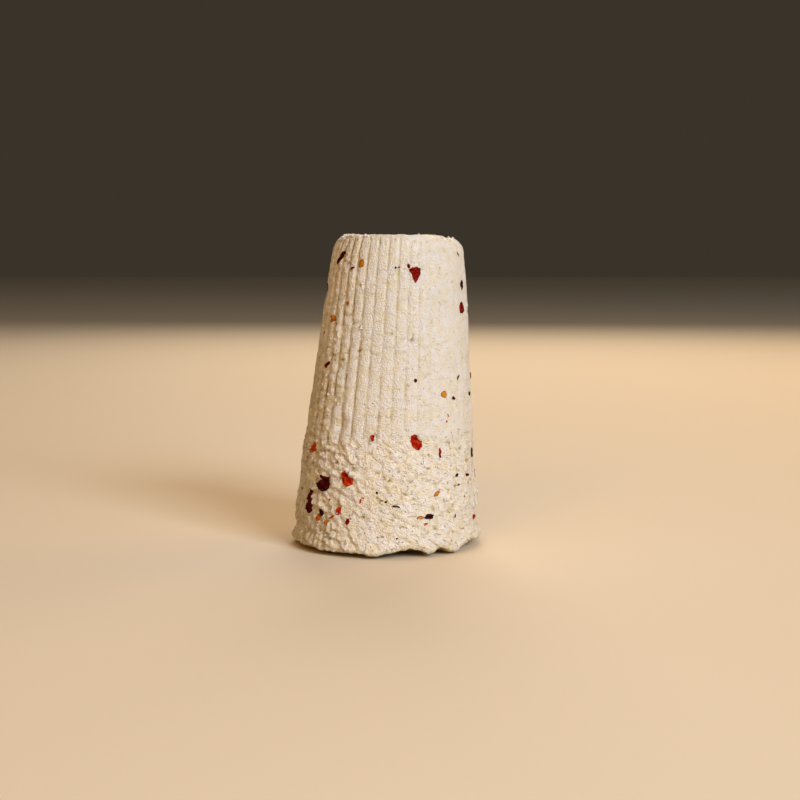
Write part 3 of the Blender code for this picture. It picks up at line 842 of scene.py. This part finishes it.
# Chips seen from the front: azimuth, then height, width, length in mm, turn in degrees, and tone, from 0 for
# black through 0.6 for red to 1 for orange brown
CHIPS = (
    (14.5, 106.6, 4.6, 7.4, 8, 0.6),
    (-58, 112.5, 2.2, 5.8, -35, 0.35),
    (67.5, 102.5, 2.4, 4.2, 0, 0.35),
    (65.5, 93.5, 3.2, 3.9, 0, 0.52),
    (-85, 101.2, 2.2, 4.0, 0, 0.5),
    (-56, 89.8, 3.4, 3.0, 20, 1.2),
    (-56, 72.2, 1.5, 3.4, -38, 0.45),
    (88, 66.5, 2.6, 3.0, 0, 0.62),
    (75.5, 60, 2.4, 1.6, 20, 0.12),
    (49.5, 59.5, 1.9, 1.7, 0, 0.4),
    (-10.5, 45.8, 1.8, 3.0, 10, 0.75),
    (18, 44, 4.4, 5.6, 25, 0.75),
    (-59.5, 40.2, 3.2, 4.2, 0, 0.9),
    (36, 39.3, 1.4, 3.8, 4, 0.6),
    (76.5, 36.8, 2.6, 4.2, -20, 0.35),
    (-26, 29.8, 4.6, 5.0, 15, 0.82),
    (-45, 27.2, 5.6, 6.0, 0, 0.34),
    (-57, 19.5, 2.8, 9.5, 6, 0.41),
    (-44.5, 16.2, 1.5, 3.2, 38, 0.2),
    (-31, 17.5, 2.2, 3.2, -20, 0.8),
    (-24, 14, 1.8, 2.8, 0, 0.66),
    (5.5, 20, 3.2, 1.4, 15, 0.05),
    (26.5, 15.8, 3.6, 2.3, 5, 0.18),
    (51, 30, 2.2, 1.4, 20, 0.15),
    (64.5, 29, 1.9, 1.4, 0, 0.45),
    (71, 11.8, 2.4, 2.4, 0, 0.8),
)

# The outlines in mm, across and up, of the chips whose shape can be made out, by their place in the list
OUTLINES = {
    0: (
        (-2.5, 1.9), (-1.3, 2.9), (0.6, 3.1), (2.2, 2.4), (2.1, 0.2), (1.2, -1.4), (0.1, -3.1), (-0.8, -1.6),
        (-1.4, 0.5),
    ),
    3: (
        (-2.0, 0.6), (-1.0, 2.0), (0.0, 2.4), (1.1, 1.6), (2.0, 0.2), (2.0, -1.4), (0.7, -2.0), (-1.5, -1.7),
    ),
    11: (
        (-1.9, 2.4), (-0.5, 3.0), (1.2, 2.3), (2.3, 0.4), (2.6, -1.7), (1.5, -3.0), (0.3, -2.9), (-1.1, -1.8),
        (-2.1, 0.1),
    ),
    12: (
        (-2.5, -1.2), (-1.7, -2.3), (0.2, -1.9), (1.7, -1.2), (2.2, 0.9), (1.5, 2.2), (0.2, 1.6), (-1.2, 0.7),
    ),
    13: (
        (-0.5, 1.6), (0.3, 1.9), (0.6, 0.8), (0.4, -0.6), (0.6, -1.7), (-0.1, -1.9), (-0.6, -0.9), (-0.3, 0.3),
    ),
    15: (
        (-2.4, 2.3), (-0.7, 3.0), (0.6, 1.4), (2.4, 0.0), (2.4, -1.8), (0.3, -2.9), (-1.7, -1.6), (-2.6, 0.2),
    ),
    16: (
        (-3.7, -0.4), (-2.4, -2.4), (0.1, -3.3), (3.0, -1.9), (3.6, 0.2), (2.4, 1.5), (3.8, 2.9), (2.0, 2.6),
        (-0.6, 3.3), (0.0, 1.7), (-2.4, 0.6),
    ),
    17: (
        (0.4, 5.0), (1.6, 3.0), (2.4, 0.8), (2.0, -2.0), (1.2, -4.5), (-1.2, -4.7), (-2.6, -3.4), (-1.9, -0.8),
        (-1.2, 2.0),
    ),
    21: ((-1.8, 0.3), (-0.9, 0.6), (0.2, 0.3), (1.2, 0.3), (1.7, -0.4), (0.8, -0.2), (-0.4, -0.2)),
    22: ((-2.2, -0.5), (-1.1, 0.9), (0.3, 1.1), (1.8, 0.5), (1.5, -0.9), (-0.3, -1.1)),
}

# Scraps and threads too small for the solid: azimuth, then height, width, length in mm, turn and tone
SCRAPS = (
    (9, 110, 1.6, 1.9, 10, 0.55),
    (11, 108.6, 0.6, 1.6, -50, 0.55),
    (-1.6, 109.4, 1.0, 0.9, 0, 0.4),
    (1.2, 109.6, 1.1, 0.8, 0, 0.4),
    (-39.6, 109.1, 0.9, 2.6, -68, 0.55),
    (-54, 114.8, 2.0, 1.6, 0, 0.2),
    (64.5, 114.8, 0.6, 2.8, 30, 0.0),
    (-86.5, 105.2, 1.4, 2.2, 0, 1.0),
    (-40, 96, 1.4, 2.0, 0, 1.1),
    (17, 67, 1.7, 1.6, 0, 0.48),
    (55.5, 67, 0.9, 2.8, -38, 0.1),
    (42, 51, 0.9, 0.9, 0, 0.9),
    (43.5, 53.2, 0.6, 1.4, 50, 0.9),
    (-16.5, 21.8, 0.8, 2.0, -20, 0.78),
    (-15, 23.0, 0.6, 1.2, 70, 0.78),
    (-6, 25.2, 1.0, 1.0, 0, 0.0),
    (-0.5, 21.8, 1.2, 0.9, 20, 0.0),
    (-3, 22.3, 1.6, 0.5, 10, 0.3),
    (52, 26.2, 1.0, 1.1, 0, 0.05),
    (58, 21.2, 1.0, 0.9, 0, 0.7),
    (6, 7, 0.8, 1.2, -20, 0.6),
    (24, 13, 1.6, 1.0, 25, 0.95),
    (-35, 15.2, 0.7, 3.4, -55, 0.75),
    (-46.5, 14.0, 2.2, 3.4, 0, 0.96),
    (-68, 84, 1.2, 1.4, 0, 0.95),
    (-38, 21.5, 0.9, 0.9, 0, 0.7),
    (47, 14.5, 0.8, 1.8, 0, 0.3),
)

# Seeds seen from the front, which the scattered chips keep clear of: azimuth, then height, width, length in mm,
# turn in degrees, and how brown
SEEDS = (
    (-31, 110.8, 2.9, 3.6, 10, 1.0),
    (40, 61.2, 3.2, 3.4, 40, 0.3),
    (33, 24, 3.6, 1.7, 32, 0.6),
    (-39, 13, 2.2, 2.1, 0, 1.3),
    (20.4, 15.5, 3.0, 1.5, 6, 0.6),
)


def surface_place(azimuth, height, across, up, out):
    """The point this far across, up and out of the curd's surface from a place on its wall."""
    azimuth_there = azimuth + math.degrees(across / cone_radius(height, azimuth))
    turn = math.radians(azimuth_there)
    outwards = Vector((math.sin(turn), -math.cos(turn), WALL_SLOPE))
    return wall_point(azimuth_there, height + up)[0] + out * outwards


def filled_outline(outline, seed):
    """A flat scrap with a ragged edge, in faces small enough to follow the curd."""
    bm = bmesh.new()
    bm.faces.new([bm.verts.new((x, y, 0)) for x, y in outline])
    bmesh.ops.triangulate(bm, faces=bm.faces[:])
    longest = max(edge.calc_length() for edge in bm.edges)
    cuts = min(MOST_CUTS, round(longest / CHIP_GRID))
    bmesh.ops.subdivide_edges(bm, edges=bm.edges[:], cuts=cuts, use_grid_fill=True)
    for vert in bm.verts:
        spot = vert.co / RAGGED_SIZE + Vector((seed, 0, 0))
        vert.co += RAGGED * Vector((noise.noise(spot), noise.noise(spot + Vector((0, 9, 0))), 0))
    return bm


def join_to(joined, bm):
    """Add a built shape to those that make up one piece."""
    mesh = mesh_of("part", bm)
    joined.from_mesh(mesh)
    bpy.data.meshes.remove(mesh)


def add_chip(joined, azimuth, height, outline, turn, tone, seed, proud=CHIP_PROUD):
    """Lay one chip on the curd and add it to the joined chips."""
    bm = filled_outline(outline, seed)
    proud *= 1 + LUMPY_PROUD * max(LUMPY_LEAST, rough_share(height)) * lumpy_share(azimuth)
    tone_of = bm.verts.layers.float.new("tone")
    edge = {vert for vert in bm.verts if vert.is_boundary}
    skirt = bmesh.ops.extrude_edge_only(bm, edges=[e for e in bm.edges if e.is_boundary])["geom"]
    buried = {vert for vert in skirt if isinstance(vert, bmesh.types.BMVert)}
    bmesh.ops.recalc_face_normals(bm, faces=bm.faces)
    swing = Matrix.Rotation(math.radians(turn), 3, "Z")
    for vert in bm.verts:
        flat = swing @ vert.co
        if vert in buried:
            out = -CHIP_BURIED
        elif vert in edge:
            out = EDGE_PROUD * proud
        else:
            out = proud * (1 + CRINKLE * noise.noise(vert.co / CRINKLE_SIZE + Vector((0, seed, 0))))
        vert.co = surface_place(azimuth, height, flat.x, flat.y, out)
        vert[tone_of] = tone
    join_to(joined, bm)


def corner_outline(rng, width, length):
    """A chip's seven uneven corners."""
    outline = []
    for corner in range(CHIP_CORNERS):
        turn = math.tau * corner / CHIP_CORNERS
        reach = rng.uniform(*CORNER_REACH) / 2
        outline.append((width * reach * math.cos(turn), length * reach * math.sin(turn)))
    return outline


def wall_spots(rows):
    """Where the chips or seeds of these rows lie on the plain cone."""
    return [place(azimuth, up * MM, cone_radius(up * MM)) for azimuth, up, *_ in rows]


def scattered_places(rng):
    """Chips for the sides and back: the largest first, and well apart."""
    taken = wall_spots(CHIPS + SEEDS)
    for size in sorted((rng.uniform(*SCATTER_SIZES) for _ in range(SCATTERED)), reverse=True):
        clear = False
        while not clear:
            azimuth, height = rng.uniform(*SCATTER_AZIMUTHS), rng.uniform(*SCATTER_HEIGHTS) * MM
            spot = place(azimuth, height, cone_radius(height))
            clear = all((spot - other).length > SCATTER_GAP for other in taken)
        taken.append(spot)
        yield azimuth, height, size * rng.uniform(*SCATTER_WIDTHS), size, rng.uniform(-SCATTER_TURN, SCATTER_TURN)


# Dried chilli skin: leathery and wrinkled with a low gloss, from deep red to nearly black, and orange red
# where it is thin
skin, tree, shader = new_material("dried_chilli_skin")
place_on = add_node(tree, "ShaderNodeTexCoord", out="Object")
tone = add_node(tree, "ShaderNodeAttribute", out="Fac", attribute_name="tone")
mottle = add_node(tree, "ShaderNodeTexNoise", {"Vector": place_on, "Scale": 1 / (1.1 * MM), "Detail": 3})
mottled = add_node(
    tree, "ShaderNodeMapRange", {"Value": mottle, "From Min": 0.3, "From Max": 0.7, "To Min": -0.28, "To Max": 0.2}
)
shade = add_node(tree, "ShaderNodeMath", {0: tone, 1: mottled}, operation="ADD")
SKIN_COLOURS = (
    (0.0, "#120807"), (0.2, "#2C0A06"), (0.4, "#480703"), (0.6, "#700602"), (0.8, "#B41C04"), (1.0, "#A0601A"),
)
colours = tree.nodes.new("ShaderNodeValToRGB")
tree.links.new(shade, colours.inputs["Fac"])
ramp = colours.color_ramp.elements
ramp[0].position, ramp[0].color = SKIN_COLOURS[0][0], linear(SKIN_COLOURS[0][1])
ramp[1].position, ramp[1].color = SKIN_COLOURS[-1][0], linear(SKIN_COLOURS[-1][1])
for position, colour in SKIN_COLOURS[1:-1]:
    ramp.new(position).color = linear(colour)
tree.links.new(colours.outputs["Color"], shader.inputs["Base Color"])
wrinkles = add_node(
    tree, "ShaderNodeTexNoise", {"Vector": place_on, "Scale": 1 / (0.7 * MM), "Detail": 2, "Distortion": 0.6}
)
bump = add_node(tree, "ShaderNodeBump", {"Height": wrinkles, "Strength": 1.0, "Distance": 0.4 * MM})
tree.links.new(bump, shader.inputs["Normal"])
shader.inputs["Roughness"].default_value = 0.25
shader.inputs["Specular IOR Level"].default_value = 0.04

# Each chip has its own number, which sets its rags and crinkles apart from the others'
joined = bmesh.new()
joined.verts.layers.float.new("tone")
rng = random.Random(12)
for index, (azimuth, up, width, length, turn, tone) in enumerate(CHIPS):
    outline = corner_outline(rng, width * MM, length * MM)
    if index in OUTLINES:
        outline, turn = [(x * MM, y * MM) for x, y in OUTLINES[index]], 0
    add_chip(joined, azimuth, up * MM, outline, turn, tone, index)
tones = random.Random(3)
for index, (azimuth, height, width, length, turn) in enumerate(scattered_places(rng)):
    outline = corner_outline(rng, width, length)
    add_chip(joined, azimuth, height, outline, turn, tones.choice(SCATTER_TONES), 40 + index)
for index, (azimuth, up, width, length, turn, tone) in enumerate(SCRAPS):
    outline = corner_outline(tones, width * MM, length * MM)
    add_chip(joined, azimuth, up * MM, outline, turn, tone, 80 + index, SCRAP_PROUD)
make_piece("chilli_chips", joined, skin, sharp_from=50)

# The chilli seeds
#
# Flat, round, golden seeds of the same chilli, uneven and slightly hollow in the middle, with a browner rim.
# They were stirred in with the skin and lie half sunk in the curd.

SEED_THICKNESS = 1.8 * MM
SEED_PROUD = 0.5 * MM
SEED_UNEVEN = 0.22
SEED_UNEVENNESS = 1.4
SEED_RIM = (0.55, 0.95)
SEED_RIM_BROWN = 2
SEED_DISH = 0.25
SEED_DISH_WIDTH = 0.5

# Chilli seed coat: smooth and golden, browner at the rim
coat, tree, shader = new_material("chilli_seed_coat")
place_on = add_node(tree, "ShaderNodeTexCoord", out="Object")
rimmed = add_node(tree, "ShaderNodeAttribute", out="Fac", attribute_name="rimmed")
blotches = add_node(tree, "ShaderNodeTexNoise", {"Vector": place_on, "Scale": 1 / (1.1 * MM), "Detail": 2})
browned = add_node(tree, "ShaderNodeMath", {0: blotches, 1: rimmed}, operation="MULTIPLY")
golden = add_node(
    tree, "ShaderNodeMix", {"Factor": browned, "A": linear("#C88818"), "B": linear("#8C4A10")}, out=2,
    data_type="RGBA",
)
tree.links.new(golden, shader.inputs["Base Color"])
pores = add_node(tree, "ShaderNodeTexNoise", {"Vector": place_on, "Scale": 1 / (0.5 * MM), "Detail": 2})
bump = add_node(tree, "ShaderNodeBump", {"Height": pores, "Strength": 0.4, "Distance": 0.15 * MM})
tree.links.new(bump, shader.inputs["Normal"])
shader.inputs["Roughness"].default_value = 0.35
shader.inputs["Specular IOR Level"].default_value = 0.08

joined = bmesh.new()
joined.verts.layers.float.new("rimmed")
for azimuth, up, width, length, turn, brown in SEEDS:
    bm = bmesh.new()
    bmesh.ops.create_icosphere(bm, subdivisions=3, radius=0.5)
    rim_of = bm.verts.layers.float.new("rimmed")
    swing = Matrix.Rotation(math.radians(turn), 3, "Z")
    for vert in bm.verts:
        from_middle = 2 * vert.co.xy.length
        bulge = noise.noise(SEED_UNEVENNESS * vert.co.normalized() + Vector((up, 0, 0)))
        vert.co *= 1 + SEED_UNEVEN * bulge
        vert[rim_of] = SEED_RIM_BROWN * ease(*SEED_RIM, from_middle) + brown
        flat = swing @ Vector((vert.co.x * width * MM, vert.co.y * length * MM, 0))
        thick = vert.co.z * SEED_THICKNESS * (1 - SEED_DISH * hump(from_middle, SEED_DISH_WIDTH))
        vert.co = surface_place(azimuth, up * MM, flat.x, flat.y, thick + SEED_PROUD - SEED_THICKNESS / 2)
    join_to(joined, bm)
make_piece("chilli_seeds", joined, coat)

# The crumbs
#
# Loose, uneven crumbs of the same moist curd, half a millimetre to two and a half across. They broke off as
# the cheese was turned out, and stick to the wall, the top's edge, the rim and some of the chips.

CRUMB_UNEVEN = 0.9
CRUMB_UNEVENNESS = 1.6

# Crumbs in front: azimuth, then height, width, length and how far the middle stands out, in mm
FRONT_CRUMBS = (
    (20.6, 46.0, 2.1, 2.6, 0.7),
    (-22.9, 32.0, 2.1, 2.1, 0.8),
    (-11.5, 44.0, 1.0, 1.2, 0.3),
    (-8.6, 47.6, 1.2, 1.2, 0.3),
    (-52.0, 121.4, 1.8, 1.6, 0.0),
    (14.5, 83.0, 1.4, 1.3, 0.3),
    (-26.0, 86.8, 1.2, 1.8, 0.2),
    (-34.0, 7.4, 2.2, 1.2, 0.2),
    (-40.0, 7.2, 2.0, 1.2, 0.2),
    (-45.0, 7.6, 1.6, 1.1, 0.2),
    (-31.5, 16.6, 0.9, 1.0, 0.5),
)

# The others are drawn in mm, clear of the chips and seeds: these shares of them on the top's edge and low on
# the wall, and the rest where the print is torn
CRUMBS = 190
CRUMB_WIDTHS = (0.5, 1.1)
CRUMB_LENGTHS = (0.7, 1.5)
CRUMB_OUT = -0.05 * MM
CRUMB_GAP = 3 * MM
ON_TOP_SHARE = 0.2
LOW_SHARE = 0.6
ON_TOP_DROP = 1.2
LOW_HEIGHTS = (2, 48)
TORN_SPREAD = 18
TORN_HEIGHTS = (44, 112)


def add_crumb(joined, azimuth, height, width, length, out, seed):
    """One uneven crumb, half sunk in the curd."""
    bm = bmesh.new()
    bmesh.ops.create_icosphere(bm, subdivisions=2, radius=0.5)
    grainy_of = bm.verts.layers.float.new("grainy")
    for vert in bm.verts:
        vert[grainy_of] = 1
        bulge = noise.noise(CRUMB_UNEVENNESS * vert.co.normalized() + Vector((seed, 0, 0)))
        vert.co *= 1 + CRUMB_UNEVEN * bulge
    bmesh.ops.scale(bm, verts=bm.verts, vec=(width, (width + length) / 2, length))
    bmesh.ops.rotate(bm, verts=bm.verts, matrix=Matrix.Rotation(math.radians(azimuth), 3, "Z"))
    bmesh.ops.translate(bm, verts=bm.verts, vec=surface_place(azimuth, height, 0, 0, out))
    join_to(joined, bm)


joined = bmesh.new()
joined.verts.layers.float.new("grainy")
for index, (azimuth, up, width, length, out) in enumerate(FRONT_CRUMBS):
    add_crumb(joined, azimuth, up * MM, width * MM, length * MM, out * MM, index)
chip_spots = wall_spots(CHIPS + SEEDS + SCRAPS)
rng = random.Random(8)
for index in range(CRUMBS):
    azimuth = rng.uniform(-180, 180)
    kind = rng.random()
    if kind < ON_TOP_SHARE:
        height = HEIGHT - rng.uniform(0, ON_TOP_DROP) * MM
    elif kind < ON_TOP_SHARE + LOW_SHARE:
        height = rng.uniform(*LOW_HEIGHTS) * MM
    else:
        azimuth, height = TORN_AZIMUTH + rng.gauss(0, TORN_SPREAD), rng.uniform(*TORN_HEIGHTS) * MM
    width = rng.uniform(*CRUMB_WIDTHS) * MM
    length = width * rng.uniform(*CRUMB_LENGTHS)
    spot = place(azimuth, height, cone_radius(height))
    if all((spot - chip).length > CRUMB_GAP for chip in chip_spots):
        add_crumb(joined, azimuth, height, width, length, CRUMB_OUT, 20 + index)
make_piece("curd_crumbs", joined, curd)

# The studio
#
# A plain pale floor and soft light: a cool key from the right and a little above, warm fills that leave the
# left side in warm shade, and lights from above and from behind for the top's edge.

CAMERA_LENS = 69.4
CAMERA_SENSOR = 36
CAMERA_PLACE = Vector((5.92, -607, 121.2)) * MM
CAMERA_TILT = 6.07
FLOOR_SIZE = 4

camera_data = bpy.data.cameras.new("camera")
camera_data.lens = CAMERA_LENS
camera_data.sensor_width = CAMERA_SENSOR
camera = add_object("camera", camera_data)
camera.location = CAMERA_PLACE
camera.rotation_euler = (math.radians(90 - CAMERA_TILT), 0, 0)
bpy.context.scene.camera = camera


def add_light(name, size, energy, colour, azimuth, elevation, distance):
    """A square softbox that looks at the middle of the cheese."""
    data = bpy.data.lights.new(name, "AREA")
    data.size = size
    data.energy = energy
    data.color = linear(colour)[:3]
    lamp = add_object(name, data)
    turn, rise = math.radians(azimuth), math.radians(elevation)
    away = Vector((math.sin(turn) * math.cos(rise), -math.cos(turn) * math.cos(rise), math.sin(rise)))
    lamp.location = Vector((0, 0, HEIGHT / 2)) + away * distance
    lamp.rotation_euler = away.to_track_quat("Z", "Y").to_euler()


add_light("key", 0.9, 43.8, "#E5F1FB", 35, 27, 2.2)
add_light("front_fill", 1.1, 11.6, "#FFBF60", -17, 30, 2.0)
add_light("side_fill", 0.9, 4.8, "#FFC060", 120, 25, 1.3)
add_light("top_fill", 0.8, 2.6, "#FCDCB8", -20, 75, 1.2)
add_light("back", 0.8, 6.5, "#FFECD4", 175, 32, 1.3)

world = bpy.data.worlds.new("studio")
world.use_nodes = True
world.node_tree.nodes["Background"].inputs["Color"].default_value = linear("#D8C4A8")
world.node_tree.nodes["Background"].inputs["Strength"].default_value = 0.06
bpy.context.scene.world = world

floor_paint, tree, shader = new_material("matt_floor_paint")
shader.inputs["Base Color"].default_value = linear("#E6D8C2")
shader.inputs["Roughness"].default_value = 0.7
bm = bmesh.new()
bmesh.ops.create_grid(bm, x_segments=1, y_segments=1, size=FLOOR_SIZE)
floor = add_object("floor", mesh_of("floor", bm))
floor.data.materials.append(floor_paint)

bpy.context.scene.view_settings.view_transform = "Standard"
